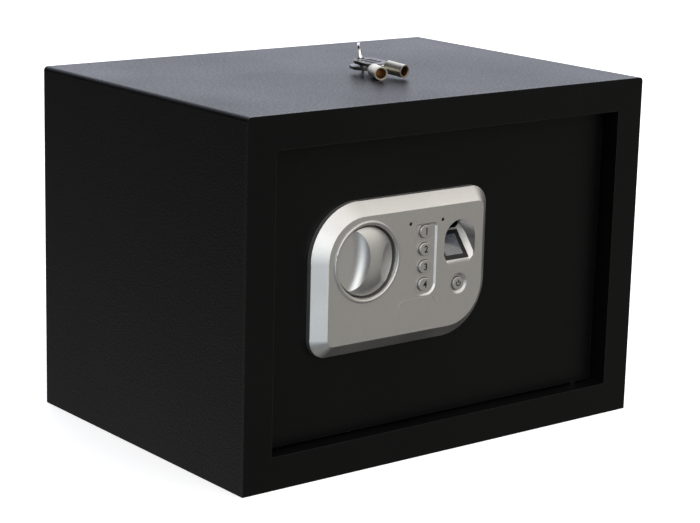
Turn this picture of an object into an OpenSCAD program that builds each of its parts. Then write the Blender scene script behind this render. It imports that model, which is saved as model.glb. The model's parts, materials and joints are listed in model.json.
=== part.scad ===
// Compact fingerprint gun safe: steel cabinet, hinged door, motorless knob lock with two bolts.
// Origin at the centre of the base's underside, +Z up, the door faces -Y.

/* [Cabinet] */
// Outside width of the cabinet
body_w = 350; // [345:1:400]
// Outside depth of the cabinet
body_d = 250; // [235:1:350]
// Outside height of the cabinet
body_h = 250; // [245:1:300]
// Thickness of the sheet steel
wall_t = 2; // [1.5:0.5:2.5]
// Outside radius of the bend along the two top edges
bend_r = 3; // [3:1:8]
// Width of the flange around the door
flange_w = 23; // [20:1:24]
// Depth of the door face behind the front of the cabinet
recess = 12; // [12:0.5:13]
// Thickness of the floor mat
mat_t = 3; // [2:0.5:5]

/* [Door] */
// Thickness of the door plate
door_t = 4; // [3:0.5:5]
// Gap between the door and the jamb on the hinge side
hinge_gap = 3.5; // [3:0.5:4]
// Gap between the door and the jamb on the bolt side
bolt_gap = 2; // [2:0.5:3]
// Gap above and below the door
edge_gap = 1.75; // [1.5:0.25:2]
// Depth of the inner cover behind the door plate
cover_depth = 26; // [26:1:30]
// Radius of the two hinge pins
pin_r = 3; // [2.5:0.5:3]

/* [Bolts] */
// Radius of a locking bolt
bolt_r = 9; // [7:0.5:9]
// Distance of each bolt above and below the knob
bolt_offset = 45; // [43:1:47]
// Radius at which the crank pin sits
crank_r = 13; // [12:0.5:13]
// Half of the angle that the knob turns through
half_turn = 35; // [30:1:35]

/* [Lock housing] */
// Distance of the knob's axis left of the cabinet's centre
knob_left = 76.2; // [75:0.2:78]
// Height of the knob's axis
knob_z = 145; // [143:1:147]
// Radius of the knob
knob_r = 23.3; // [22:0.1:23.5]
// Height of the knob's domed front above its rim
dome_h = 7; // [6:0.5:8]
// Tilt of the knob's grip from the vertical, in degrees
grip_tilt = 7.5; // [0:0.5:10]
// Radius of a keypad button's rounded ends
button_r = 4.3; // [4.1:0.05:4.4]
// Distance from one keypad button to the next
button_pitch = 12.25; // [12.1:0.05:12.4]
// Travel of a button
button_travel = 0.6; // [0.4:0.1:0.7]

/* [Keys] */
// Outside radius of a tubular key's barrel
barrel_r = 4.75; // [4.5:0.05:4.9]
// Distance from the hole in a key's head to the tip of its barrel
key_length = 42; // [40:1:46]
// Outside radius of the key ring
ring_r = 10; // [9:0.5:12]

/* [Hidden] */
$fn = 64;

steel = [0.06, 0.06, 0.065];
silver = [0.62, 0.61, 0.59];
zinc = [0.72, 0.72, 0.7];
black_plastic = [0.05, 0.05, 0.05];
eps = 0.01;
clear = 0.3;

// Main planes of the cabinet
front_y = -body_d / 2;
back_y = body_d / 2;
side_x = body_w / 2;
open_x = side_x - flange_w;
open_b = flange_w;
open_t = body_h - flange_w;
// Planes of the door, front to back
face_y = front_y + recess;
plate_y = face_y + door_t;
jamb_y = plate_y - 0.5;
cover_y = plate_y + cover_depth;
door_l = -open_x + bolt_gap;
door_r = open_x - hinge_gap;
door_b = open_b + edge_gap;
door_u = open_t - edge_gap;
pivot_x = door_r - 10.5;
pivot_y = plate_y + pin_r;
// Inner cover on the back of the door
cover_l = door_l + 3.5;
cover_r = pivot_x - 13;
cover_b = door_b + 7.25;
cover_u = door_u - 7.25;
cover_t = 1;
// Knob, crank and bolts
knob_x = -knob_left;
throw = 2 * crank_r * sin(half_turn);
bolt_y = plate_y + 12;
bolt_end = cover_l + 0.5;
tail_x = bolt_end + 34;
web_r = knob_x + 24.2;
crank_pin_r = 3;
post_r = 4;
// Height and position of the solenoid
plunger_x = web_r - 5.5;
plunger_y = plate_y + 10.25;
plunger_r = 3.5;
coil_b = 52;
coil_u = 84;
plunger_stroke = 9;
// Lock housing outline on its base and on its face
bezel_l = -117;
bezel_r = 34.5;
bezel_b = 81.5;
bezel_u = 185;
bevel = 9;
bezel_wall = 2.2;
face_t = 2.5;
side_y = front_y + 8;
well_r = knob_r + 1.6;
// Keypad, power button and indicator lights
pad_x = -25.7;
pad_top_z = 159.8;
power_x = 5;
power_z = 119.6;
// Half the distance between the centres of a button's rounded ends
pad_half = 1;
power_half = 0.7;
tray_depth = 1.3;
light_z = 166.3;
// Fingerprint recess: arch outline, a short lead-in and a ramp
arch_x = 4.8;
arch_z = 150.8;
arch_r = 13.75;
arch_b = 133.5;
lead_angle = 21;
ramp_angle = 38.7;
ramp_z = 136.6;
ramp_depth = 1.2;
pocket_depth = 17.5;
// Where the slanted strip right of the sensor starts, and its slant
land_x = 9.2;
land_angle = 29;
// Override lock behind the key cover
lock_x = -32.25;
lock_z = 102;
lock_r = 9.5;
// Battery box
box_l = 44;
box_w = 62;
box_b = 66;
cell_r = 7.1;
// Key ring on top of the cabinet
ring_x = 14.3;
ring_y = 0.8;
ring_sight = 51.3;
ring_lean = 12;
key_gap = 0.1;
head_r = 12;
head_t = 2.2;
head_centre = 9;
key_1_angle = -110;
key_2_angle = -81;

// Extrudes a flat shape drawn in X and Z from depth y0 to depth y1
module slab(y0, y1) {
    translate([0, y1, 0]) rotate([90, 0, 0]) linear_extrude(y1 - y0) children();
}

// Cylinder along Y
module rod_y(x, z, r, y0, y1) {
    slab(y0, y1) translate([x, z]) circle(r);
}

// Cylinder along Z
module rod_z(x, y, r, z0, z1) {
    translate([x, y, z0]) cylinder(r = r, h = z1 - z0);
}

// Cylinder along X
module rod_x(x0, x1, y, z, r) {
    translate([x0, y, z]) rotate([0, 90, 0]) cylinder(r = r, h = x1 - x0);
}

// Rod along Y with an oval section: rounded ends half a distance each side of x
module oval_y(x, z, half, r, y0, y1) {
    slab(y0, y1) slot_x(x - half, x + half, z, r);
}

// Block between two corners
module block(a, b) {
    translate(a) cube(b - a);
}

// Rectangle between two corners with its own radius at each corner, counted from top left clockwise
module corner_rect(l, b, r, u, radii) {
    tl = radii[0];
    tr = radii[1];
    br = radii[2];
    bl = radii[3];
    difference() {
        translate([l, b]) square([r - l, u - b]);
        translate([l - 1, u - tl]) square([tl + 1, tl + 1]);
        translate([r - tr, u - tr]) square([tr + 1, tr + 1]);
        translate([r - br, b - 1]) square([br + 1, br + 1]);
        translate([l - 1, b - 1]) square([bl + 1, bl + 1]);
    }
    translate([l + tl, u - tl]) circle(tl);
    translate([r - tr, u - tr]) circle(tr);
    translate([r - br, b + br]) circle(br);
    translate([l + bl, b + bl]) circle(bl);
}

// Slot with round ends along X, drawn flat
module slot_x(x0, x1, z, r) {
    translate([x0, z - r]) square([x1 - x0, 2 * r]);
    translate([x0, z]) circle(r);
    translate([x1, z]) circle(r);
}

// ---- Cabinet ----

module body_wrap() {
    color(steel) slab(front_y + wall_t, back_y) difference() {
        corner_rect(-side_x, 0, side_x, body_h, [bend_r, bend_r, eps, eps]);
        translate([-side_x + wall_t, -1])
            square([2 * (side_x - wall_t), body_h - bend_r + 1]);
        corner_rect(-side_x + wall_t, 1, side_x - wall_t, body_h - wall_t,
            [bend_r - wall_t, bend_r - wall_t, eps, eps]);
    }
}

base_holes = [for (x = [-100, 100], y = [-35, 65]) [x, y]];

module base_plate() {
    inner = side_x - wall_t;
    color(steel) difference() {
        block([-inner, front_y + wall_t, 0], [inner, back_y - wall_t, wall_t]);
        for (p = base_holes) rod_z(p[0], p[1], 5, -1, wall_t + 1);
    }
}

module back_panel() {
    inner = side_x - wall_t;
    color(steel) difference() {
        slab(back_y - wall_t, back_y)
            corner_rect(-inner, 0, inner, body_h - wall_t, [bend_r - wall_t, bend_r - wall_t, eps, eps]);
        for (x = [-100, 100]) rod_y(x, 150, 5, back_y - wall_t - 1, back_y + 1);
    }
}

module front_frame() {
    color(steel) difference() {
        union() {
            slab(front_y, front_y + wall_t)
                corner_rect(-side_x, 0, side_x, body_h, [bend_r, bend_r, eps, eps]);
            slab(front_y + wall_t - eps, jamb_y) translate([-open_x - wall_t, open_b - wall_t])
                square([2 * (open_x + wall_t), open_t - open_b + 2 * wall_t]);
        }
        slab(front_y - 1, jamb_y + 1) translate([-open_x, open_b]) square([2 * open_x, open_t - open_b]);
    }
}

strike_half = bolt_r + 1.5;

module strike_channel() {
    face = -open_x - wall_t;
    color(steel) difference() {
        union() {
            block([face - wall_t, jamb_y, open_b + 4], [face, plate_y + 25, open_t - 4]);
            block([-side_x + wall_t, plate_y + 25 - wall_t, open_b + 4], [face - wall_t, plate_y + 25, open_t - 4]);
            block([face, plate_y + 0.3, open_b + 4], [door_l + 1, plate_y + 1.8, open_t - 4]);
        }
        for (s = [-1, 1]) block([face - wall_t - 1, bolt_y - strike_half, knob_z + s * bolt_offset - strike_half],
            [face + 1, bolt_y + strike_half, knob_z + s * bolt_offset + strike_half]);
    }
}

// Ear with a pivot hole, lying flat with its underside at z
module hinge_bracket(z) {
    color(steel) difference() {
        block([pivot_x - 16, pivot_y - 12, z], [pivot_x + 22, pivot_y + 10, z + 3]);
        rod_z(pivot_x, pivot_y, pin_r + 0.05, z - 1, z + 4);
    }
}

module upper_hinge_bracket() hinge_bracket(open_t + wall_t);
module lower_hinge_bracket() hinge_bracket(open_b - wall_t - 3);

module floor_mat() {
    inner = side_x - wall_t - 1;
    color([0.12, 0.12, 0.13]) difference() {
        block([-inner, front_y + 18, wall_t], [inner, back_y - wall_t - 1, wall_t + mat_t]);
        for (p = base_holes) rod_z(p[0], p[1], 11, wall_t - 1, wall_t + mat_t + 1);
    }
}

// ---- Door ----

screw_spots = [[-103, 97], [-46, 171], [14, 172], [8, 98]];

module door_plate() {
    color(steel) slab(face_y, plate_y) difference() {
        translate([door_l, door_b]) square([door_r - door_l, door_u - door_b]);
        translate([knob_x, knob_z]) circle(8);
        translate([lock_x, lock_z]) circle(lock_r + 0.2);
        translate([arch_x - 17, 131]) square([34, 38]);
        translate([-8, 100]) circle(5);
        for (p = screw_spots) translate(p) circle(1.8);
    }
}

cover_screw_spots = [[-138, 40], [-138, 210], [118, 40], [118, 210]];
reset_spot = [20, 160];

module inner_cover() {
    color(steel) difference() {
        block([cover_l, plate_y, cover_b], [cover_r, cover_y, cover_u]);
        block([cover_l + cover_t, plate_y - 1, cover_b + cover_t],
            [cover_r - cover_t, cover_y - cover_t, cover_u - cover_t]);
        for (s = [-1, 1]) rod_x(cover_l - 1, cover_l + cover_t + 1, bolt_y, knob_z + s * bolt_offset, bolt_r + 0.8);
        block([box_l + 2, cover_y - cover_t - 1, box_b + 2], [box_l + box_w - 2, cover_y + 1, box_b + box_w - 2]);
        rod_y(reset_spot[0], reset_spot[1], 4, cover_y - 2, cover_y + 1);
        for (p = cover_screw_spots) rod_y(p[0], p[1], 1.6, cover_y - 2, cover_y + 1);
    }
}

module cover_screws() {
    color(zinc) for (p = cover_screw_spots) {
        rod_y(p[0], p[1], 1.6, plate_y, cover_y);
        difference() {
            rod_y(p[0], p[1], 3.2, cover_y, cover_y + 1.8);
            block([p[0] - 2, cover_y + 1, p[1] - 0.4], [p[0] + 2, cover_y + 2, p[1] + 0.4]);
            block([p[0] - 0.4, cover_y + 1, p[1] - 2], [p[0] + 0.4, cover_y + 2, p[1] + 2]);
        }
    }
}

// Pivot pin with the knuckle block that joins it to the door plate
module hinge_pin(block_b, block_u, pin_b, pin_u) {
    color(zinc) {
        block([pivot_x - 8, plate_y, block_b], [pivot_x + 8, pivot_y + pin_r + 2, block_u]);
        rod_z(pivot_x, pivot_y, pin_r, pin_b, pin_u);
    }
}

module upper_hinge_pin() hinge_pin(door_u - 20, door_u - 3, door_u - 3, open_t + wall_t + 5);
module lower_hinge_pin() hinge_pin(door_b + 3, door_b + 20, open_b - wall_t - 5, door_b + 3);

// Leaf outline of the lock housing, pulled in by an amount
module leaf(inset) {
    corner_rect(bezel_l + inset, bezel_b + inset, bezel_r - inset, bezel_u - inset,
        [38 - inset, 14 - inset, 38 - inset, 14 - inset]);
}

// Arch outline of the fingerprint recess, grown by an amount
module arch(grow) {
    r = arch_r + grow;
    cut = 3.6;
    translate([arch_x, arch_z]) circle(r);
    polygon([[arch_x - r, arch_z], [arch_x - r, arch_b + 2 * cut - grow], [arch_x - r + cut, arch_b - grow],
        [arch_x + r - cut, arch_b - grow], [arch_x + r, arch_b + 2 * cut - grow], [arch_x + r, arch_z]]);
}

// Places children in the frame of the ramp: X across, Z up the ramp, -Y out of it
module on_ramp() {
    translate([arch_x, front_y + ramp_depth, ramp_z]) rotate([-ramp_angle, 0, 0]) children();
}

// Everything in front of the recess's floor, lowered by an amount
module before_floor(drop) {
    on_ramp() translate([-30, drop - 60, -40]) cube([60, 60, 90]);
    translate([arch_x, front_y, arch_b]) rotate([-lead_angle, 0, 0])
        translate([-30, drop - 60, -40]) cube([60, 60, 90]);
}

// Strip of the ramp right of the sensor that slants up to the recess's wall
module slanted_land() {
    on_ramp() translate([0, 0, -5]) linear_extrude(40)
        polygon([[land_x, 0], [land_x, 2], [16, 2], [16, -(16 - land_x) * tan(land_angle)]]);
}

module key_tab(grow) {
    corner_rect(lock_x - 16.25 - grow, 92 - grow, lock_x + 16.25 + grow, 114 + grow, [6, 6, 1, 1]);
}

module bezel() {
    color(silver) difference() {
        union() {
            difference() {
                hull() {
                    slab(side_y, side_y + eps) leaf(0);
                    slab(front_y, front_y + eps) leaf(bevel);
                }
                hull() {
                    slab(side_y, side_y + 1) leaf(bezel_wall);
                    slab(front_y + face_t, front_y + face_t + eps) leaf(bevel + 1);
                }
            }
            slab(side_y, face_y) difference() {
                leaf(0);
                leaf(bezel_wall);
            }
            // Raised bead and well around the knob
            translate([knob_x, front_y, knob_z]) rotate([90, 0, 0]) rotate_extrude() {
                translate([well_r, -recess]) square([2, recess]);
                translate([well_r + 1.8, 0]) circle(1.2);
            }
            rod_y(knob_x, knob_z, well_r + 1, face_y - 1.4, face_y);
            // Walls of the fingerprint recess
            slab(front_y + 1, front_y + pocket_depth + 1.5) arch(1.5);
            // Screw bosses
            for (p = screw_spots) rod_y(p[0], p[1], 3.4, front_y + 1, face_y);
        }
        // Knob well and spindle opening
        rod_y(knob_x, knob_z, well_r, front_y - 3, face_y - 1.4);
        rod_y(knob_x, knob_z, 10.3, face_y - 3, face_y + 1);
        // Keypad tray and button holes
        slab(front_y - 1, front_y + tray_depth) corner_rect(-34.9, 115.1, -15.8, 165.3, [3, 3, 8, 8]);
        for (i = [0:3]) oval_y(pad_x, pad_top_z - i * button_pitch, pad_half, button_r + clear, front_y - 1, front_y + 5);
        // Power button dish and hole
        translate([power_x, front_y - 9, power_z]) sphere(11.6);
        oval_y(power_x, power_z, power_half, button_r + clear, front_y - 1, front_y + 5);
        // Indicator lights
        for (x = [-39.5, -11.2]) rod_y(x, light_z, 1.25, front_y - 1, front_y + 5);
        // Fingerprint recess and the hollow behind its ramp
        intersection() {
            slab(front_y - 1, front_y + pocket_depth) arch(0);
            difference() {
                before_floor(0);
                slanted_land();
            }
        }
        difference() {
            slab(front_y + 4, front_y + pocket_depth + 5) arch(-1);
            before_floor(1.8);
            slab(front_y + pocket_depth, front_y + pocket_depth + 1.5) translate([arch_x - 20, ramp_z + 17])
                square([40, 20]);
        }
        // Opening over the keyhole
        slab(front_y - 1, front_y + face_t + 1) key_tab(clear);
        for (p = screw_spots) rod_y(p[0], p[1], 1.3, face_y - 7, face_y + 1);
    }
}

module bezel_screws() {
    color(zinc) for (p = screw_spots) {
        rod_y(p[0], p[1], 1.3, face_y - 6, plate_y);
        rod_y(p[0], p[1], 3, plate_y, plate_y + 1.6);
    }
}

module led_lenses() {
    color([0.03, 0.03, 0.03]) for (x = [-39.5, -11.2]) rod_y(x, light_z, 1.25, front_y + 0.3, front_y + face_t + 2);
}

frame_x0 = -12.8;
frame_w = 21.9;
frame_h = 21.6;
module sensor_frame() {
    color(black_plastic) intersection() {
        on_ramp() difference() {
            translate([frame_x0, -0.9, 0.2]) cube([frame_w, 0.9, frame_h]);
            translate([frame_x0 + 3, -2, 3.2]) cube([frame_w - 6.2, 4, frame_h - 6]);
        }
        slab(front_y, front_y + pocket_depth) arch(-clear / 2);
    }
}

module sensor_glass() {
    color([0.35, 0.37, 0.4]) on_ramp() translate([frame_x0 + 3, -0.6, 3.2]) cube([frame_w - 6.2, 0.6, frame_h - 6]);
}

module sensor_module() {
    color([0.1, 0.25, 0.15]) on_ramp() translate([-8, 1.8, 6]) cube([15, 3, 13]);
}

module circuit_board() {
    color([0.05, 0.3, 0.15]) slab(front_y + 7, front_y + 8.6) difference() {
        translate([-46, 113]) square([62, 55]);
        translate([arch_x, arch_z]) circle(arch_r + 2.2);
        translate([arch_x - arch_r - 2.2, 129]) square([2 * arch_r + 4.4, 22]);
        for (p = screw_spots) translate(p) circle(4);
        translate([knob_x, knob_z]) circle(well_r + 3);
    }
}

module tact_switches() {
    color(black_plastic) {
        for (i = [0:3]) block([pad_x - 3, front_y + 5.2, pad_top_z - i * button_pitch - 3],
            [pad_x + 3, front_y + 7, pad_top_z - i * button_pitch + 3]);
        block([power_x - 3, front_y + 5.2, power_z - 3], [power_x + 3, front_y + 7, power_z + 3]);
    }
}

module wire_harness() {
    y = plate_y + 5;
    color([0.15, 0.15, 0.16]) {
        rod_y(-8, 100, 2, front_y + 8.6, y);
        translate([-8, y, 100]) sphere(2);
        rod_x(-8, box_l, y, 100, 2);
        rod_z(-8, y, 2, 46, 100);
        translate([-8, y, 46]) sphere(2);
        rod_x(plunger_x, -8, y, 46, 2);
        translate([plunger_x, y, 46]) sphere(2);
        rod_z(plunger_x, y, 2, 46, coil_b);
    }
}

module knob_bush() {
    color([0.8, 0.65, 0.3]) difference() {
        union() {
            rod_y(knob_x, knob_z, 8, face_y, plate_y + 2.7);
            rod_y(knob_x, knob_z, 10, face_y - 1.2, face_y);
        }
        rod_y(knob_x, knob_z, 4.05, face_y - 3, plate_y + 4);
    }
}

module carriage_posts() {
    color(zinc) for (s = [-1, 1]) {
        rod_y(knob_x, knob_z + 28 * s, post_r, plate_y, plate_y + 12);
        rod_y(knob_x, knob_z + 28 * s, 7, plate_y + 12, plate_y + 13.5);
    }
}

// Bracket that a bolt slides in, at height z
module bolt_guide(z) {
    x = bolt_end + 13;
    color(zinc) difference() {
        union() {
            block([x, plate_y, z - 15], [x + 2, plate_y + 24, z + 15]);
            block([x, plate_y, z - 15], [x + 12, plate_y + 2, z + 15]);
        }
        rod_x(x - 1, x + 3, bolt_y, z, bolt_r + 0.08);
    }
}

module upper_bolt_guide() bolt_guide(knob_z + bolt_offset);
module lower_bolt_guide() bolt_guide(knob_z - bolt_offset);

module solenoid_frame() {
    color(zinc) difference() {
        block([plunger_x - 11.5, plate_y, coil_b], [plunger_x + 11.5, plate_y + 21, coil_u]);
        block([plunger_x - 12, plate_y + 1.5, coil_b + 1.5], [plunger_x + 12, plate_y + 22, coil_u - 1.5]);
        rod_z(plunger_x, plunger_y, plunger_r + clear, coil_b - 1, coil_u + 1);
    }
}

module solenoid_coil() {
    color([0.5, 0.2, 0.12]) difference() {
        rod_z(plunger_x, plunger_y, 8.7, coil_b + 1.5, coil_u - 1.5);
        rod_z(plunger_x, plunger_y, plunger_r + clear, coil_b, coil_u);
    }
}

module lock_cylinder() {
    color(zinc) difference() {
        union() {
            rod_y(lock_x, lock_z, lock_r, front_y + 5, plate_y + 13);
            rod_y(lock_x, lock_z, 11.5, face_y - 2, face_y);
        }
        rod_y(lock_x, lock_z, 6.05, front_y, plate_y + 20);
    }
}

module lock_nut() {
    color(zinc) slab(plate_y, plate_y + 4) difference() {
        translate([lock_x, lock_z]) circle(13, $fn = 6);
        translate([lock_x, lock_z]) circle(lock_r);
    }
}

module battery_box() {
    y0 = plate_y + 1.5;
    color(black_plastic) difference() {
        block([box_l, y0, box_b], [box_l + box_w, cover_y - cover_t - 0.5, box_b + box_w]);
        block([box_l + 1.5, y0 + 1.5, box_b + 1.5], [box_l + box_w - 1.5, cover_y, box_b + box_w - 1.5]);
    }
}

module battery_contacts() {
    color(zinc) for (i = [0:3]) for (x = [box_l + 1.5, box_l + box_w - 2]) {
        z = box_b + box_w / 2 + (i - 1.5) * 14.7;
        block([x, plate_y + 5, z - 5], [x + 0.5, plate_y + 19, z + 5]);
    }
}

// AA cell number i, counted from the bottom, each turned end for end from the last
module battery(i) {
    z = box_b + box_w / 2 + (i - 1.5) * 14.7;
    turn = i % 2 == 0 ? 1 : -1;
    color([0.2, 0.2, 0.22]) translate([box_l + box_w / 2, plate_y + 11, z]) rotate([0, turn * 90, 0]) {
        translate([0, 0, -25]) cylinder(r = cell_r, h = 49);
        translate([0, 0, 24]) cylinder(r = 2.7, h = 1.4);
    }
}

module battery_1() battery(0);
module battery_2() battery(1);
module battery_3() battery(2);
module battery_4() battery(3);

// ---- Knob, crank and bolts ----

// One finger hollow: flat floor and a round fillet up to the grip's edge
module finger_hollow(edge, fillet) {
    floor_y = front_y + 2.8;
    reach = 60;
    translate([-edge - reach, floor_y, 0]) rotate([90, 0, 0]) rotate_extrude($fn = 180) {
        square([reach - fillet, 24]);
        translate([0, fillet]) square([reach, 24]);
        intersection() {
            translate([reach - fillet, fillet]) circle(fillet);
            square([reach, fillet]);
        }
    }
}

module knob() {
    rim_y = front_y + 1.8;
    ball = (knob_r * knob_r + dome_h * dome_h) / (2 * dome_h);
    color(silver) translate([knob_x, 0, knob_z]) rotate([0, grip_tilt, 0]) difference() {
        union() {
            rod_y(0, 0, knob_r, rim_y, face_y - 2.2);
            intersection() {
                translate([0, rim_y - dome_h + ball, 0]) sphere(ball, $fn = 96);
                rod_y(0, 0, knob_r, rim_y - dome_h - 1, rim_y + 1);
            }
        }
        finger_hollow(1.2, 11);
        mirror([1, 0, 0]) finger_hollow(2.6, 22);
        rod_y(0, 0, 4, face_y - 5, face_y);
    }
}

module spindle() {
    color(zinc) rod_y(knob_x, knob_z, 4, face_y - 5, plate_y + 7.7);
}

crank_x = knob_x + crank_r * sin(half_turn);
crank_z = knob_z + crank_r * cos(half_turn);
module crank() {
    color(zinc) difference() {
        union() {
            rod_y(knob_x, knob_z, 18, plate_y + 3, plate_y + 6);
            rod_y(crank_x, crank_z, crank_pin_r, plate_y + 6, plate_y + 13.5);
        }
        rod_y(knob_x, knob_z, 4, plate_y + 2, plate_y + 7);
    }
}

module spindle_clip() {
    color(steel) slab(plate_y + 6.3, plate_y + 7.1) difference() {
        translate([knob_x, knob_z]) circle(6.5);
        translate([knob_x, knob_z]) circle(4);
        translate([knob_x, knob_z - 2]) square([8, 4]);
    }
}

module bolt_carriage() {
    low = knob_z - bolt_offset - 12;
    high = knob_z + bolt_offset + 12;
    color(zinc) {
        slab(plate_y + 9, plate_y + 11.5) difference() {
            union() {
                translate([tail_x, low]) square([18, high - low]);
                translate([tail_x, knob_z - 41]) square([web_r - tail_x, 82]);
            }
            translate([crank_x, 0]) {
                translate([-crank_pin_r - 0.3, knob_z + 10.3]) square([2 * crank_pin_r + 0.6, 3]);
                translate([0, knob_z + 10.3]) circle(crank_pin_r + 0.3);
                translate([0, knob_z + 13.3]) circle(crank_pin_r + 0.3);
            }
            for (s = [-1, 1]) slot_x(knob_x, knob_x + throw, knob_z + 28 * s, post_r + 0.4);
        }
        block([tail_x, plate_y + 3, low], [tail_x + 2.5, plate_y + 21, high]);
    }
}

module locking_bolt(z) {
    color([0.8, 0.8, 0.8]) {
        rod_x(bolt_end + 1, tail_x, bolt_y, z, bolt_r);
        translate([bolt_end + 1, bolt_y, z]) rotate([0, -90, 0]) cylinder(r1 = bolt_r, r2 = bolt_r - 1, h = 1);
    }
}

module upper_bolt() locking_bolt(knob_z + bolt_offset);
module lower_bolt() locking_bolt(knob_z - bolt_offset);

module plunger() {
    color(zinc) {
        rod_z(plunger_x, plunger_y, plunger_r, coil_b + 4, 98);
        rod_z(plunger_x, plunger_y, 6, coil_u + 4, coil_u + 6);
    }
}

module plunger_spring() {
    color(zinc) difference() {
        rod_z(plunger_x, plunger_y, 5.2, coil_u, coil_u + 4);
        rod_z(plunger_x, plunger_y, 4.2, coil_u - 1, coil_u + 5);
    }
}

// ---- Override lock ----

module lock_plug() {
    tip = front_y + 5.6;
    color([0.78, 0.7, 0.45]) difference() {
        rod_y(lock_x, lock_z, 6, tip, plate_y + 14.4);
        difference() {
            rod_y(lock_x, lock_z, 5.1, tip - 1, tip + 8);
            rod_y(lock_x, lock_z, 3.6, tip - 2, tip + 9);
        }
    }
}

module lock_cam() {
    color(zinc) slab(plate_y + 14.4, plate_y + 16.4) {
        translate([lock_x, lock_z]) circle(6);
        translate([lock_x - 5, lock_z - 17]) square([10, 17]);
    }
}

// ---- Buttons and covers ----

module push_button(x, z, half, top) {
    color(silver) {
        oval_y(x, z, half, button_r, top, front_y + face_t + 0.1);
        rod_y(x, z, 6, front_y + face_t + 0.1, front_y + face_t + 0.9);
        rod_y(x, z, 1.5, front_y + face_t + 0.9, front_y + 5.2 - button_travel - 0.1);
    }
}

module button_1() push_button(pad_x, pad_top_z, pad_half, front_y - 0.5);
module button_2() push_button(pad_x, pad_top_z - button_pitch, pad_half, front_y - 0.5);
module button_3() push_button(pad_x, pad_top_z - 2 * button_pitch, pad_half, front_y - 0.5);
module button_4() push_button(pad_x, pad_top_z - 3 * button_pitch, pad_half, front_y - 0.5);
module power_button() push_button(power_x, power_z, power_half, front_y + 0.2);

module reset_button() {
    color([0.7, 0.1, 0.08]) {
        rod_y(reset_spot[0], reset_spot[1], 3.6, cover_y - 3, cover_y + 1);
        rod_y(reset_spot[0], reset_spot[1], 5, cover_y - 4.4, cover_y - 3);
    }
}

module key_cover() {
    color(silver) {
        slab(front_y, front_y + face_t) key_tab(0);
        for (s = [-1, 1]) block([lock_x + s * 12.5 - 1, front_y + face_t, 96],
            [lock_x + s * 12.5 + 1, front_y + face_t + 2, 110]);
    }
}

module battery_cover() {
    color(black_plastic) {
        block([box_l - 1, cover_y + 0.1, box_b - 1], [box_l + box_w + 1, cover_y + 1.6, box_b + box_w + 1]);
        difference() {
            block([box_l + 2.5, cover_y - 1.2, box_b + 2.5], [box_l + box_w - 2.5, cover_y + 0.1, box_b + box_w - 2.5]);
            block([box_l + 4, cover_y - 2, box_b + 4], [box_l + box_w - 4, cover_y + 0.1, box_b + box_w - 4]);
        }
    }
}

// ---- Keys ----

// The ring leans to the left as the camera sees it edge-on. The lower key lies flat on its barrel,
// and the upper key rests on the lower one's head and on its own tip.
ring_height = (ring_r * cos(ring_lean) + 0.9 * sin(ring_lean)) + key_gap;
key_1_height = barrel_r + key_gap;
key_2_height = key_1_height + 4.1;
key_2_drop = asin((key_2_height - barrel_r - 7 * key_gap) / key_length);

// Where the middle of the ring's strip passes a height above the cabinet
function ring_point(height) =
    let (r = ring_r - 0.35, rise = (height - ring_height) / (r * cos(ring_lean)),
        along = -r * sqrt(1 - rise * rise), aside = r * rise * sin(ring_lean))
    [ring_x + along * cos(ring_sight) - aside * sin(ring_sight),
        ring_y + along * sin(ring_sight) + aside * cos(ring_sight)];

// Places children with the head's hole at the origin and the barrel along +X
module key_place(angle, height, drop) {
    p = ring_point(height);
    translate([p[0], p[1], body_h + height]) rotate([0, 0, angle]) rotate([0, drop, 0]) children();
}

// Flat blade from the head into a tubular barrel
module key_barrel() {
    start = key_length - 16;
    color([0.75, 0.72, 0.62]) {
        difference() {
            rod_x(start, key_length, 0, 0, barrel_r);
            rod_x(start + 4, key_length + 1, 0, 0, barrel_r - 0.9);
        }
        block([head_centre + head_r - 7, -3.5, -0.7], [start + 1, 3.5, 0.7]);
    }
}

module key_head(drop) {
    color(black_plastic) difference() {
        translate([head_centre, 0, -head_t / 2]) intersection() {
            cylinder(r = head_r, h = head_t);
            translate([-head_r, -head_r + 0.8, 0]) cube([2 * head_r, 2 * head_r - 1.6, head_t]);
        }
        rotate([0, -drop, 0]) translate([0, 0, -2 * head_t]) cylinder(r = 2.4, h = 4 * head_t);
        block([head_centre + head_r - 7.02, -3.52, -0.72], [head_centre + head_r + 1, 3.52, 0.72]);
    }
}

module key_1_barrel() key_place(key_1_angle, key_1_height, 0) key_barrel();
module key_1_head() key_place(key_1_angle, key_1_height, 0) key_head(0);
module key_2_barrel() key_place(key_2_angle, key_2_height, key_2_drop) key_barrel();
module key_2_head() key_place(key_2_angle, key_2_height, key_2_drop) key_head(key_2_drop);

module key_ring() {
    color([0.85, 0.85, 0.85]) translate([ring_x, ring_y, body_h + ring_height])
        rotate([0, 0, ring_sight]) rotate([-ring_lean, 0, 0]) rotate([90, 0, 0])
        rotate_extrude() translate([ring_r - 0.7, -0.9]) square([0.7, 1.8]);
}

body_wrap();
base_plate();
back_panel();
front_frame();
strike_channel();
upper_hinge_bracket();
lower_hinge_bracket();
floor_mat();
door_plate();
inner_cover();
cover_screws();
upper_hinge_pin();
lower_hinge_pin();
bezel();
bezel_screws();
led_lenses();
sensor_frame();
sensor_glass();
sensor_module();
circuit_board();
tact_switches();
wire_harness();
knob_bush();
carriage_posts();
upper_bolt_guide();
lower_bolt_guide();
solenoid_frame();
solenoid_coil();
lock_cylinder();
lock_nut();
battery_box();
battery_contacts();
battery_1();
battery_2();
battery_3();
battery_4();
knob();
spindle();
crank();
spindle_clip();
bolt_carriage();
upper_bolt();
lower_bolt();
plunger();
plunger_spring();
lock_plug();
lock_cam();
button_1();
button_2();
button_3();
button_4();
power_button();
reset_button();
key_cover();
battery_cover();
key_ring();
key_1_barrel();
key_1_head();
key_2_barrel();
key_2_head();
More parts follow.
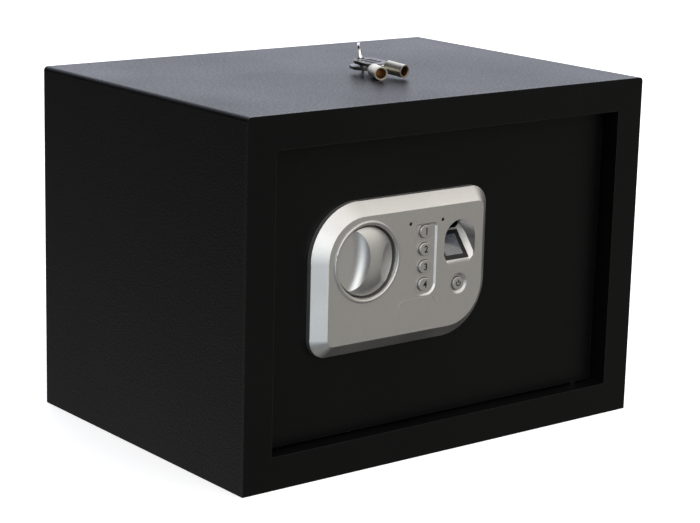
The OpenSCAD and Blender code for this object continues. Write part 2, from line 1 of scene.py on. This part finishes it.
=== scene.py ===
"""The looks of a compact fingerprint gun safe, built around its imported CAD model. Lengths in metres."""
import json
from math import asin, cos, pi, radians, sin, sqrt

import bmesh
import bpy
from mathutils import Matrix, Vector


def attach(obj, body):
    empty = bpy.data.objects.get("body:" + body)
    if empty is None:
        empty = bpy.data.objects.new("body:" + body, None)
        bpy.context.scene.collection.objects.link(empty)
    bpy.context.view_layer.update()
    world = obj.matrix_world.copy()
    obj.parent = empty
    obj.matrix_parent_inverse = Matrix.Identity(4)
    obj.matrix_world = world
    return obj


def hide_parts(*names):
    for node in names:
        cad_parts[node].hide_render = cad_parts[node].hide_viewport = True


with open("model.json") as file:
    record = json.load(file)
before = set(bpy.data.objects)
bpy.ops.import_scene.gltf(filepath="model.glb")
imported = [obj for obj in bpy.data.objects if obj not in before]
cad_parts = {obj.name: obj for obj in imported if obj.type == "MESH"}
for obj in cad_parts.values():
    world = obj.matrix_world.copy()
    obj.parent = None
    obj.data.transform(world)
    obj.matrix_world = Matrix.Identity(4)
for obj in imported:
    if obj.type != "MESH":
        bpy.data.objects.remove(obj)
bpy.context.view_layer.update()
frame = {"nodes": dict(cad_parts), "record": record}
nodes = frame["nodes"]
scene = bpy.context.scene
MM = 0.001

# Body that each CAD node rides on
BODY_OF = {n: b for b, names in frame["record"]["behaviour"]["bodies"].items() for n in names}
SLOT_OF = {s["node"]: s["material_slot"] for s in frame["record"]["subparts"]}

# ---------------------------------------------------------------- materials


class Shader:
    """A Principled material that its maker adds nodes to."""

    def __init__(self, name, **values):
        self.mat = bpy.data.materials.new(name)
        self.mat.use_nodes = True
        self.tree = self.mat.node_tree
        self.bsdf = self.tree.nodes["Principled BSDF"]
        self.coords = self.tree.nodes.new("ShaderNodeTexCoord")
        for socket, value in values.items():
            self.bsdf.inputs[socket.replace("_", " ")].default_value = value

    def node(self, kind, **settings):
        made = self.tree.nodes.new("ShaderNode" + kind)
        for key, value in settings.items():
            if key in made.inputs:
                made.inputs[key].default_value = value
            else:
                setattr(made, key, value)
        return made

    def link(self, source, target):
        self.tree.links.new(source, target)

    def noise(self, scale, detail=3.0, rough=0.55, stretch=None):
        """Noise in object space. scale counts features per metre."""
        made = self.node("TexNoise", Scale=scale, Detail=detail, Roughness=rough)
        source = self.coords.outputs["Object"]
        if stretch:
            mapping = self.node("Mapping")
            mapping.inputs["Scale"].default_value = stretch
            self.link(source, mapping.inputs["Vector"])
            source = mapping.outputs["Vector"]
        self.link(source, made.inputs["Vector"])
        return made.outputs["Fac"]

    def cells(self, scale, randomness=1.0):
        made = self.node("TexVoronoi", Scale=scale, Randomness=randomness)
        self.link(self.coords.outputs["Object"], made.inputs["Vector"])
        return made.outputs["Distance"]

    def span(self, source, low, high, to_low, to_high):
        """Maps source from low..high to to_low..to_high, clamped."""
        made = self.node("MapRange")
        for slot, value in zip(("From Min", "From Max", "To Min", "To Max"), (low, high, to_low, to_high)):
            made.inputs[slot].default_value = value
        self.link(source, made.inputs["Value"])
        return made.outputs["Result"]

    def blend(self, factor, a, b):
        """A colour between a and b; either may be a colour or a socket."""
        made = self.tree.nodes.new("ShaderNodeMix")
        made.data_type = "RGBA"
        self.link(factor, made.inputs["Factor"])
        for slot, value in ((6, a), (7, b)):
            if isinstance(value, bpy.types.NodeSocket):
                self.link(value, made.inputs[slot])
            else:
                made.inputs[slot].default_value = (*value, 1)
        return made.outputs[2]

    def maths(self, operation, a, b):
        made = self.node("Math", operation=operation)
        for slot, value in zip(made.inputs, (a, b)):
            if isinstance(value, bpy.types.NodeSocket):
                self.link(value, slot)
            else:
                slot.default_value = value
        return made.outputs["Value"]

    def edges(self, radius):
        """0 on flat faces, 1 within about a radius of a hard edge."""
        geometry = self.node("NewGeometry")
        rounded = self.node("Bevel", samples=4, Radius=radius)
        agree = self.node("VectorMath", operation="DOT_PRODUCT")
        self.link(geometry.outputs["Normal"], agree.inputs[0])
        self.link(rounded.outputs["Normal"], agree.inputs[1])
        return self.span(agree.outputs["Value"], 0.98, 0.85, 0, 1)

    def bump(self, height, strength, distance):
        made = self.node("Bump", Strength=strength, Distance=distance)
        self.link(height, made.inputs["Height"])
        self.link(made.outputs["Normal"], self.bsdf.inputs["Normal"])

    def base(self, colour):
        self.link(colour, self.bsdf.inputs["Base Color"])

    def rough(self, value):
        self.link(value, self.bsdf.inputs["Roughness"])


def powder_coat():
    """Black polyester powder coat with a fine orange-peel texture; its edges are painted paler, partly as
    rubbed wear and partly as a painted highlight, and are slightly polished.
    """
    s = Shader("powder_coat", Specular_IOR_Level=0.15)
    peel = s.noise(520, detail=2.0)
    grain = s.cells(900)
    patches = s.noise(9, detail=3.0)
    tone = s.blend(s.span(patches, 0.35, 0.7, 0, 1), (0.0014, 0.0014, 0.0016), (0.0024, 0.0024, 0.0025))
    edges = s.edges(0.7 * MM)
    # Paler colour on the edges: partly rubbed wear, partly a painted edge highlight
    s.base(s.blend(edges, tone, (0.022, 0.022, 0.022)))
    matt = s.maths("ADD", s.span(peel, 0.3, 0.7, 0.33, 0.46), s.span(patches, 0.3, 0.7, -0.03, 0.03))
    s.rough(s.maths("SUBTRACT", matt, s.maths("MULTIPLY", edges, 0.14)))
    s.bump(s.maths("ADD", peel, s.maths("MULTIPLY", grain, 0.6)), 0.55, 0.00022)
    return s.mat


def silver_paint(name, light=1.0, rough=0.40, metallic=0.95):
    """Silver paint on moulded plastic: fine metal flake, faint handling marks, and paler edges that are
    partly wear and partly a painted highlight.
    """
    s = Shader(name, Metallic=metallic, Specular_IOR_Level=0.5)
    flake = s.cells(2600)
    cloud = s.noise(28, detail=4.0)
    dark = (0.51 * light, 0.50 * light, 0.485 * light)
    pale = (0.61 * light, 0.60 * light, 0.585 * light)
    tone = s.blend(s.span(flake, 0.1, 0.7, 0, 1), dark, pale)
    # Paler colour on the edges: partly wear, partly a painted edge highlight
    s.base(s.blend(s.edges(0.3 * MM), tone, (0.72 * light, 0.71 * light, 0.70 * light)))
    worn = s.span(cloud, 0.3, 0.7, rough - 0.04, rough + 0.05)
    s.rough(s.maths("ADD", worn, s.span(flake, 0, 0.6, 0, 0.05)))
    s.bump(s.maths("ADD", flake, s.noise(1500, detail=1.0)), 0.10, 0.00006)
    return s.mat


def plated(name, colour, rough=0.25, streak=60.0):
    """Plated steel with fine drawn lines and dull patches."""
    s = Shader(name, Metallic=1.0)
    lines = s.noise(streak * 10, detail=2.0, stretch=(1, 1, 14))
    dull = s.noise(70, detail=3.0)
    s.base(s.blend(s.span(dull, 0.35, 0.75, 0, 1), colour, tuple(c * 0.78 for c in colour)))
    drawn = s.span(lines, 0.3, 0.7, rough - 0.05, rough + 0.08)
    s.rough(s.maths("ADD", drawn, s.span(dull, 0.3, 0.7, -0.03, 0.06)))
    s.bump(lines, 0.12, 0.00005)
    return s.mat


def moulded(name, colour, rough=0.45, grain=1400.0, strength=0.25, specular=0.45):
    """Moulded plastic or rubber with a fine spark-eroded grain."""
    s = Shader(name, Specular_IOR_Level=specular)
    fine = s.noise(grain, detail=2.0)
    wide = s.noise(40, detail=2.0)
    s.base(s.blend(s.span(wide, 0.3, 0.7, 0, 1), colour, tuple(c * 1.35 + 0.002 for c in colour)))
    s.rough(s.span(fine, 0.3, 0.7, rough - 0.06, rough + 0.08))
    s.bump(fine, strength, 0.00008)
    return s.mat


def felt():
    """Needle felt: matted fibres with sheen."""
    s = Shader("felt", Roughness=0.95, Sheen_Weight=0.6, Sheen_Roughness=0.5)
    fibres = s.noise(1300, detail=6.0, rough=0.75)
    tufts = s.noise(130, detail=4.0)
    tone = s.blend(s.span(fibres, 0.35, 0.65, 0, 1), (0.018, 0.018, 0.021), (0.075, 0.075, 0.082))
    s.base(s.blend(s.span(tufts, 0.4, 0.7, 0, 0.5), tone, (0.05, 0.05, 0.055)))
    s.bump(s.maths("ADD", fibres, s.maths("MULTIPLY", tufts, 0.5)), 0.8, 0.0009)
    return s.mat


def optical_glass():
    """Fingerprint window: dark glass with faint smears."""
    s = Shader("sensor_glass", Specular_IOR_Level=0.8, Coat_Weight=0.6, Coat_Roughness=0.06)
    smear = s.noise(220, detail=5.0, rough=0.7)
    s.base(s.blend(s.span(smear, 0.4, 0.7, 0, 1), (0.055, 0.058, 0.066), (0.11, 0.115, 0.13)))
    s.rough(s.span(smear, 0.35, 0.7, 0.10, 0.30))
    s.bump(smear, 0.05, 0.0001)
    return s.mat


def solder_mask():
    """Circuit board: green mask over copper tracks."""
    s = Shader("circuit_green", Specular_IOR_Level=0.5)
    tracks = s.node("TexBrick", Scale=180.0)
    s.link(s.coords.outputs["Object"], tracks.inputs["Vector"])
    s.base(s.blend(tracks.outputs["Fac"], (0.012, 0.10, 0.04), (0.03, 0.19, 0.08)))
    s.rough(s.span(s.noise(300), 0.3, 0.7, 0.25, 0.4))
    s.bump(tracks.outputs["Fac"], 0.2, 0.00005)
    return s.mat


def winding():
    """Enamelled copper wound on the coil."""
    s = Shader("coil_wire", Metallic=0.7, Coat_Weight=0.3)
    turns = s.node("TexWave", Scale=420.0, Distortion=0.4, bands_direction="Z")
    s.link(s.coords.outputs["Object"], turns.inputs["Vector"])
    s.base(s.blend(turns.outputs["Fac"], (0.22, 0.06, 0.02), (0.62, 0.25, 0.09)))
    s.rough(s.span(turns.outputs["Fac"], 0, 1, 0.45, 0.3))
    s.bump(turns.outputs["Fac"], 0.6, 0.0003)
    return s.mat


MATERIALS = {
    "powder_coat": powder_coat(),
    "silver_plastic": silver_paint("silver_plastic"),
    "silver_knob": silver_paint("silver_knob", rough=0.37, metallic=0.90),
    "button_silver": silver_paint("button_silver", light=0.94, rough=0.38),
    "felt": felt(),
    "zinc": plated("zinc", (0.60, 0.60, 0.57), rough=0.32),
    "nickel": plated("nickel", (0.78, 0.76, 0.72), rough=0.14),
    "key_nickel": plated("key_nickel", (0.74, 0.71, 0.62), rough=0.42),
    "chrome": plated("chrome", (0.80, 0.80, 0.80), rough=0.10),
    "brass": plated("brass", (0.30, 0.17, 0.07), rough=0.38),
    "black_plastic": moulded("black_plastic", (0.007, 0.007, 0.008), specular=0.22),
    "key_plastic": moulded("key_plastic", (0.016, 0.016, 0.013), rough=0.30),
    "dark_lens": moulded("dark_lens", (0.004, 0.004, 0.005), rough=0.12, strength=0.02),
    "red_plastic": moulded("red_plastic", (0.42, 0.015, 0.012), rough=0.32),
    "cell_wrap": moulded("cell_wrap", (0.03, 0.032, 0.04), rough=0.3, strength=0.05),
    "wire_sleeve": moulded("wire_sleeve", (0.02, 0.02, 0.022), rough=0.7),
    "sensor_glass": optical_glass(),
    "circuit_green": solder_mask(),
    "coil_wire": winding(),
}

# Every CAD node takes its slot's material; the visible ones are then replaced by finished pieces
for name, thing in nodes.items():
    thing.data.materials.clear()
    thing.data.materials.append(MATERIALS[SLOT_OF[name]])

# ---------------------------------------------------------------- mesh helpers


def make_piece(name, mesh, body, slot, smooth=True):
    """Links a finished mesh as a piece that rides a body and takes its slot's material."""
    piece = bpy.data.objects.new(name, mesh)
    scene.collection.objects.link(piece)
    mesh.materials.clear()
    mesh.materials.append(MATERIALS[slot])
    for face in mesh.polygons:
        face.use_smooth = smooth
    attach(piece, body)
    return piece


SHARP_ANGLE = radians(36)
FLAT_ANGLE = radians(0.4)


def gather(items, pairs):
    """Groups items joined by pairs; returns a dict from item to its group's first item."""
    parent = {item: item for item in items}

    def root(item):
        while parent[item] is not item:
            parent[item] = parent[parent[item]]
            item = parent[item]
        return item

    for a, b in pairs:
        parent[root(a)] = root(b)
    return {item: root(item) for item in items}


def steady_normals(mesh, sharp=SHARP_ANGLE):
    """Smooth normals weighted by each flat patch's area, so that flats stay flat beside their bevels."""
    work = bmesh.new()
    work.from_mesh(mesh)
    work.normal_update()
    joined = [e for e in work.edges if len(e.link_faces) == 2]
    turn = {e: e.calc_face_angle(pi) for e in joined}
    patch_of = gather(list(work.faces), [e.link_faces for e in joined if turn[e] < FLAT_ANGLE])
    area = {}
    for face, patch in patch_of.items():
        area[patch] = area.get(patch, 0) + face.calc_area()
    corner = {}
    for vert in work.verts:
        smooth = [e.link_faces for e in vert.link_edges if turn.get(e, pi) < sharp]
        fan_of = gather(list(vert.link_faces), smooth)
        sums = {}
        for face, fan in fan_of.items():
            sums.setdefault(fan, {})[patch_of[face]] = face.normal
        for face, fan in fan_of.items():
            total = Vector((0, 0, 0))
            for patch, normal in sums[fan].items():
                total += normal * area[patch]
            corner[face.index, vert.index] = total.normalized() if total.length else face.normal.copy()
    work.free()
    normals = [(0, 0, 0)] * len(mesh.loops)
    for face in mesh.polygons:
        face.use_smooth = True
        for loop in face.loop_indices:
            normals[loop] = corner[face.index, mesh.loops[loop].vertex_index]
    mesh.normals_split_custom_set(normals)


def finished(node, width, segments=3, limit=32, clamp=True, keep=None):
    """A welded copy of a CAD node with its edges broken by real bevels. It replaces the node.
    keep takes the middle of an edge and says whether that edge stays as it is."""
    mesh = bpy.data.meshes.new(node + "_finished")
    work = bmesh.new()
    work.from_mesh(nodes[node].data)
    bmesh.ops.remove_doubles(work, verts=work.verts, dist=0.5e-5)
    bmesh.ops.dissolve_limit(work, angle_limit=radians(0.3), verts=work.verts, edges=work.edges)
    edges = [e for e in work.edges if len(e.link_faces) == 2 and e.calc_face_angle(0) > radians(limit)
             and not (keep and keep((e.verts[0].co + e.verts[1].co) / 2))]
    bmesh.ops.bevel(work, geom=edges, offset=width, offset_type="OFFSET", segments=segments, profile=0.5,
                    affect="EDGES", clamp_overlap=clamp, miter_outer="ARC", miter_inner="SHARP")
    bmesh.ops.remove_doubles(work, verts=work.verts, dist=0.2e-5)
    work.to_mesh(mesh)
    work.free()
    piece = make_piece(mesh.name, mesh, BODY_OF[node], SLOT_OF[node])
    steady_normals(mesh)
    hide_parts(node)
    return piece


# ---------------------------------------------------------------- camera and light

# Camera fitted to the seven visible corners of the cabinet
CAMERA_AT = Vector((-0.9273, -1.1761, 0.4699))
CAMERA_AZIMUTH, CAMERA_ELEVATION, CAMERA_ROLL = radians(-38.511), radians(13.506), radians(1.478)
FOCAL_PIXELS, IMAGE_WIDTH, SENSOR = 2102.3, 700, 36.0


def add_camera():
    a, e, r = CAMERA_AZIMUTH, CAMERA_ELEVATION, CAMERA_ROLL
    back = Vector((sin(a) * cos(e), -cos(a) * cos(e), sin(e)))
    level = Vector((0, 0, 1)).cross(back).normalized()
    upright = back.cross(level)
    right = level * cos(r) + upright * sin(r)
    up = upright * cos(r) - level * sin(r)
    data = bpy.data.cameras.new("camera")
    data.sensor_width = SENSOR
    data.lens = FOCAL_PIXELS / IMAGE_WIDTH * SENSOR
    data.clip_end = 100
    camera = bpy.data.objects.new("camera", data)
    scene.collection.objects.link(camera)
    turn = Matrix((right, up, back)).transposed()
    camera.matrix_world = Matrix.Translation(CAMERA_AT) @ turn.to_4x4()
    scene.camera = camera


# Soft boxes of the studio, seen from the safe: azimuth from the front (right positive) and elevation
# in degrees, half-angles of the full and the faded part, brightness and tint
SOFT_BOXES = (
    (-24, 42, 12, 44, 1.78, (1.00, 1.00, 1.00)),     # key, above the camera
    (-42, 10, 8, 26, 1.85, (0.96, 1.00, 1.02)),       # lower end of the key
    (62, 50, 16, 44, 1.42, (1.04, 1.00, 0.95)),      # overhead, right
    (38, -10, 16, 42, 0.40, (1.03, 1.00, 0.93)),     # front right, low
    (-50, -14, 10, 32, 0.74, (0.88, 1.00, 1.10)),    # front left, low
    (-140, -46, 12, 44, 0.80, (1.00, 1.00, 1.00)),   # behind, left, low
    (141, 16, 26, 62, 1.55, (0.92, 0.96, 1.09)),     # wall behind, right
    (-15, -70, 10, 30, 0.46, (1.00, 1.00, 1.00)),    # floor in front
)
AMBIENT = (0.008, 0.008, 0.009)


def direction(azimuth, elevation):
    a, e = radians(azimuth), radians(elevation)
    return sin(a) * cos(e), -cos(a) * cos(e), sin(e)


def add_studio():
    scene.view_settings.view_transform = "Standard"
    world = bpy.data.worlds.new("studio")
    scene.world = world
    world.use_nodes = True
    tree = world.node_tree
    coords = tree.nodes.new("ShaderNodeTexCoord")
    total = None
    for azimuth, elevation, full, faded, bright, tint in SOFT_BOXES:
        towards = tree.nodes.new("ShaderNodeVectorMath")
        towards.operation = "DOT_PRODUCT"
        towards.inputs[1].default_value = direction(azimuth, elevation)
        tree.links.new(coords.outputs["Generated"], towards.inputs[0])
        fade = tree.nodes.new("ShaderNodeMapRange")
        fade.interpolation_type = "SMOOTHSTEP"
        fade.inputs["From Min"].default_value = cos(radians(faded))
        fade.inputs["From Max"].default_value = cos(radians(full))
        tree.links.new(towards.outputs["Value"], fade.inputs["Value"])
        tinted = tree.nodes.new("ShaderNodeVectorMath")
        tinted.operation = "SCALE"
        tinted.inputs[0].default_value = tuple(bright * c for c in tint)
        tree.links.new(fade.outputs["Result"], tinted.inputs["Scale"])
        plus = tree.nodes.new("ShaderNodeVectorMath")
        plus.operation = "ADD"
        tree.links.new(tinted.outputs["Vector"], plus.inputs[0])
        if total is None:
            plus.inputs[1].default_value = AMBIENT
        else:
            tree.links.new(total, plus.inputs[1])
        total = plus.outputs["Vector"]
    background = tree.nodes["Background"]
    tree.links.new(total, background.inputs["Color"])
    seen = tree.nodes.new("ShaderNodeBackground")
    seen.inputs["Color"].default_value = (1, 1, 1, 1)
    ray = tree.nodes.new("ShaderNodeLightPath")
    mix = tree.nodes.new("ShaderNodeMixShader")
    tree.links.new(ray.outputs["Is Camera Ray"], mix.inputs[0])
    tree.links.new(background.outputs[0], mix.inputs[1])
    tree.links.new(seen.outputs[0], mix.inputs[2])
    tree.links.new(mix.outputs[0], tree.nodes["World Output"].inputs["Surface"])


def add_floor():
    bpy.ops.mesh.primitive_plane_add(size=60, location=(0, 0, -0.0002))
    floor = bpy.context.object
    floor.name = "floor"
    s = Shader("floor", Roughness=0.6, Specular_IOR_Level=0.2)
    s.bsdf.inputs["Base Color"].default_value = (0.86, 0.86, 0.87, 1)
    s.bsdf.inputs["Emission Color"].default_value = (1, 1, 1, 1)
    s.bsdf.inputs["Emission Strength"].default_value = 0.62
    floor.data.materials.append(s.mat)
    floor.visible_glossy = False
    floor.visible_diffuse = False


add_camera()
add_studio()
add_floor()

# ---------------------------------------------------------------- cabinet and door

FRONT_Y = -125 * MM
# Width of the bevel on each node's edges, in millimetres
FINISHES = {
    "body_wrap": 0.5, "front_frame": 0.9, "door_plate": 0.7, "back_panel": 0.3, "base_plate": 0.3,
    "strike_channel": 0.4, "upper_hinge_bracket": 0.3, "lower_hinge_bracket": 0.3, "upper_hinge_pin": 0.3,
    "lower_hinge_pin": 0.3, "upper_bolt": 0.3, "lower_bolt": 0.3, "inner_cover": 0.5, "battery_cover": 0.5,
    "battery_box": 0.3, "reset_button": 0.3, "cover_screws": 0.15, "sensor_frame": 0.12,
    "sensor_glass": 0.08,
    "lock_plug": 0.15, "lock_cylinder": 0.2, "knob": 0.3, "key_1_barrel": 0.15, "key_2_barrel": 0.15,
    "key_1_head": 0.6, "key_2_head": 0.6, "key_ring": 0.25, "key_cover": 0.06, "led_lenses": 0.3,
}
for node, width in FINISHES.items():
    finished(node, width * MM)
for node in ("button_1", "button_2", "button_3", "button_4", "power_button"):
    finished(node, 1.0 * MM, segments=5, limit=60)


# Outline of the cover over the override keyhole, in the face of the lock housing
COVER_L, COVER_B, COVER_R, COVER_U = -48.5 * MM, 92 * MM, -16 * MM, 114 * MM


def around_key_cover(at):
    """Whether a point lies on the face within the cover's outline and the gap round it."""
    side, above = 0.8 * MM, 0.6 * MM
    return (at.y < FRONT_Y + 3 * MM and COVER_L - side < at.x < COVER_R + side
            and COVER_B - side < at.z < COVER_U + above)


finished("bezel", 0.25 * MM, segments=2, clamp=False, keep=around_key_cover)

# ---------------------------------------------------------------- lock housing details


def rounded_outline(left, low, right, high, radii, steps=10):
    """Points of a rectangle with its own corner radii, from top left clockwise seen from the front."""
    corners = ((left, high, 1, -1, 180), (right, high, -1, -1, 90),
               (right, low, -1, 1, 0), (left, low, 1, 1, -90))
    points = []
    for (x, z, to_x, to_z, start), r in zip(corners, radii):
        for k in range(steps + 1):
            a = radians(start - 90 * k / steps)
            points.append((x + to_x * r + r * cos(a), z + to_z * r + r * sin(a)))
    return points


def ring_skin(name, rings, body, slot):
    """Closed skin through rings of points, each joined to the next and the last to the first."""
    mesh = bpy.data.meshes.new(name)
    count = len(rings[0])
    faces = []
    for i in range(len(rings)):
        j = (i + 1) % len(rings)
        for k in range(count):
            n = (k + 1) % count
            faces.append((i * count + k, i * count + n, j * count + n, j * count + k))
    mesh.from_pydata([p for ring in rings for p in ring], [], faces)
    mesh.update()
    piece = make_piece(name, mesh, body, slot)
    steady_normals(mesh)
    return piece


TRAY = (-34.9 * MM, 115.1 * MM, -15.8 * MM, 165.3 * MM)
TRAY_RADII = (3 * MM, 3 * MM, 8 * MM, 8 * MM)
TRAY_DEPTH = 1.3 * MM


def tray_slope():
    """Sloped foot all round the keypad tray, against its wall."""
    def ring(inset, y):
        l, b, r, u = TRAY
        radii = [max(q - inset, 0.3 * MM) for q in TRAY_RADII]
        return [(x, y, z) for x, z in rounded_outline(l + inset, b + inset, r - inset, u - inset, radii)]

    top, foot = 0.2 * MM, TRAY_DEPTH + 0.02 * MM
    ring_skin("tray_slope", [ring(0, FRONT_Y + top), ring(foot - top, FRONT_Y + foot),
                             ring(-0.1 * MM, FRONT_Y + foot)], "door", "silver_plastic")


def cover_lip():
    """Thin lip of the face that nearly closes the gap round the key cover."""
    def ring(grow, y):
        radii = [r * MM + grow for r in (6, 6, 1, 1)]
        return [(x, y, z) for x, z in rounded_outline(
            COVER_L - grow, COVER_B - grow, COVER_R + grow, COVER_U + grow, radii)]

    top, foot = FRONT_Y + 0.16 * MM, FRONT_Y + 1.6 * MM
    gap, left_open = 0.3 * MM, 0.03 * MM
    ring_skin("cover_lip", [ring(gap, top), ring(left_open, top), ring(left_open, foot), ring(gap, foot)],
              "door", "silver_plastic")


def mark(name, outlines, body, y):
    """Printed mark standing a hair proud of a button's top."""
    proud = 0.06 * MM
    mesh = bpy.data.meshes.new(name)
    verts, faces = [], []
    for points in outlines:
        first, count = len(verts), len(points)
        verts += [(x, y - proud, z) for x, z in points] + [(x, y + proud, z) for x, z in points]
        faces.append(tuple(range(first, first + count)))
        for k in range(count):
            n = (k + 1) % count
            faces.append((first + k, first + count + k, first + count + n, first + n))
    mesh.from_pydata(verts, [], faces)
    mesh.update()
    return make_piece(name, mesh, body, "black_plastic", smooth=False)


def printed_digit(name, digit, body, x, y, z, height):
    """A digit in Blender's own font, centred on x, z and facing the front."""
    curve = bpy.data.curves.new(name, "FONT")
    curve.body = digit
    curve.extrude = 0.1
    curve.offset = 0.022
    holder = bpy.data.objects.new(name + "_text", curve)
    scene.collection.objects.link(holder)
    bpy.context.view_layer.update()
    mesh = bpy.data.meshes.new_from_object(holder.evaluated_get(bpy.context.evaluated_depsgraph_get()))
    bpy.data.objects.remove(holder)
    mesh.name = name
    xs, zs = [v.co.x for v in mesh.vertices], [v.co.y for v in mesh.vertices]
    scale = height / (max(zs) - min(zs))
    for v in mesh.vertices:
        flat_x, flat_z, front = v.co.x - (max(xs) + min(xs)) / 2, v.co.y - (max(zs) + min(zs)) / 2, v.co.z
        v.co = (x + flat_x * scale, y - front * 0.6 * MM, z + flat_z * scale)
    mesh.update()
    return make_piece(name, mesh, body, "black_plastic", smooth=False)


PAD_X, PAD_TOP_Z, PAD_PITCH = -25.7 * MM, 159.8 * MM, 12.25 * MM
BUTTON_TOP_Y = FRONT_Y - 0.5 * MM
DIGIT_HEIGHT = 4.9 * MM
for i in range(4):
    digit = str(i + 1)
    printed_digit("digit_" + digit, digit, "button_" + digit, PAD_X, BUTTON_TOP_Y, PAD_TOP_Z - i * PAD_PITCH,
                  DIGIT_HEIGHT)


def arc(x, z, r, start, end, steps=28):
    return [(x + r * cos(radians(start + (end - start) * k / steps)),
             z + r * sin(radians(start + (end - start) * k / steps))) for k in range(steps + 1)]


def power_sign():
    """An open ring with an upright bar in its gap, on the power button."""
    x, z = 5.0 * MM, 119.5 * MM
    outer, inner, half_bar = 2.1 * MM, 1.35 * MM, 0.36 * MM
    low, high = z + 0.2 * MM, z + 2.5 * MM
    ring = arc(x, z, outer, 130, 410) + arc(x, z, inner, 410, 130)
    bar = [(x - half_bar, low), (x + half_bar, low), (x + half_bar, high), (x - half_bar, high)]
    mark("power_mark", [ring, bar], "power_button", FRONT_Y + 0.2 * MM)


power_sign()
tray_slope()
cover_lip()

# ---------------------------------------------------------------- keys on the top

# Sizes and places in millimetres, as in the CAD source
RING_X, RING_Y, RING_R = 14.3, 0.8, 10
RING_SIGHT, RING_LEAN = radians(51.3), radians(12)
RING_STRIP_R, RING_HALF_WIDTH = RING_R - 0.35, 0.9
KEY_GAP, BARREL_R, KEY_LENGTH = 0.1, 4.75, 42
KEY_2_RISE = 4.1
TOP_Z = 250
# Angle of each key from the X axis in degrees, and the height of the hole in its head
KEYS = {"key_1": (-110, BARREL_R + KEY_GAP), "key_2": (-81, BARREL_R + KEY_GAP + KEY_2_RISE)}


def key_frame(angle, height):
    """Where a key lies: its head's hole at the origin and its barrel along +X, as in the CAD source."""
    rest = RING_R * cos(RING_LEAN) + RING_HALF_WIDTH * sin(RING_LEAN) + KEY_GAP
    rise = (height - rest) / (RING_STRIP_R * cos(RING_LEAN))
    along, aside = -RING_STRIP_R * sqrt(1 - rise * rise), RING_STRIP_R * rise * sin(RING_LEAN)
    at = Vector((RING_X + along * cos(RING_SIGHT) - aside * sin(RING_SIGHT),
                 RING_Y + along * sin(RING_SIGHT) + aside * cos(RING_SIGHT), TOP_Z + height)) * MM
    drop = asin(max(height - BARREL_R - 7 * KEY_GAP, 0) / KEY_LENGTH) if height > BARREL_R + 1 else 0
    return Matrix.Translation(at) @ Matrix.Rotation(radians(angle), 4, "Z") @ Matrix.Rotation(drop, 4, "Y")


def key_bore(key, angle, height):
    """Tarnished lining of a tubular key's barrel."""
    place = key_frame(angle, height)
    steps = 40

    def ring(x, r):
        turns = [2 * pi * k / steps for k in range(steps)]
        return [place @ (Vector((x, r * cos(a), r * sin(a))) * MM) for a in turns]

    mouth, end, back = KEY_LENGTH - 0.5, KEY_LENGTH - 11.7, KEY_LENGTH - 11.7 - 0.2
    outer, mouth_r, end_r, middle = 3.83, 3.5, 3.4, 0.2
    rings = [ring(mouth, outer), ring(mouth, mouth_r), ring(end, end_r), ring(end, middle),
             ring(back, middle), ring(back, outer)]
    ring_skin(key + "_bore", rings, BODY_OF[key + "_barrel"], "brass")


def grip_ridges(key, angle, height):
    """Raised grip lines across the top of a key's head."""
    place = key_frame(angle, height)
    work = bmesh.new()
    for x in (5.5, 9.5, 13.5):
        at = Matrix.Translation(Vector((x, 0, 1.1)) * MM)
        size = Matrix.Diagonal((1.1 * MM, 12 * MM, 0.8 * MM, 1))
        bmesh.ops.create_cube(work, size=1, matrix=place @ at @ size)
    bmesh.ops.bevel(work, geom=work.edges[:], offset=0.3 * MM, segments=2, profile=0.5, affect="EDGES")
    mesh = bpy.data.meshes.new(key + "_ridges")
    work.to_mesh(mesh)
    work.free()
    make_piece(mesh.name, mesh, BODY_OF[key + "_head"], "key_plastic")
    steady_normals(mesh)


for key, (angle, height) in KEYS.items():
    key_bore(key, angle, height)
grip_ridges("key_2", *KEYS["key_2"])

# ---------------------------------------------------------------- felt mat


def lay_mat():
    """The felt mat on the cabinet's floor, with softened edges and faint waves."""
    mat = finished("floor_mat", 0.8 * MM)
    work = bmesh.new()
    work.from_mesh(mat.data)
    bmesh.ops.triangulate(work, faces=work.faces)
    for _ in range(6):
        long_edges = [e for e in work.edges if e.calc_length() > 14 * MM]
        if not long_edges:
            break
        bmesh.ops.subdivide_edges(work, edges=long_edges, cuts=1, use_grid_fill=False)
        bmesh.ops.triangulate(work, faces=work.faces)
    top = max(v.co.z for v in work.verts)
    for v in work.verts:
        if v.co.z > top - 0.1 * MM:
            v.co.z -= (0.15 + 0.15 * sin(v.co.x * 47) * cos(v.co.y * 61 + 0.7)) * MM
    work.to_mesh(mat.data)
    work.free()


lay_mat()
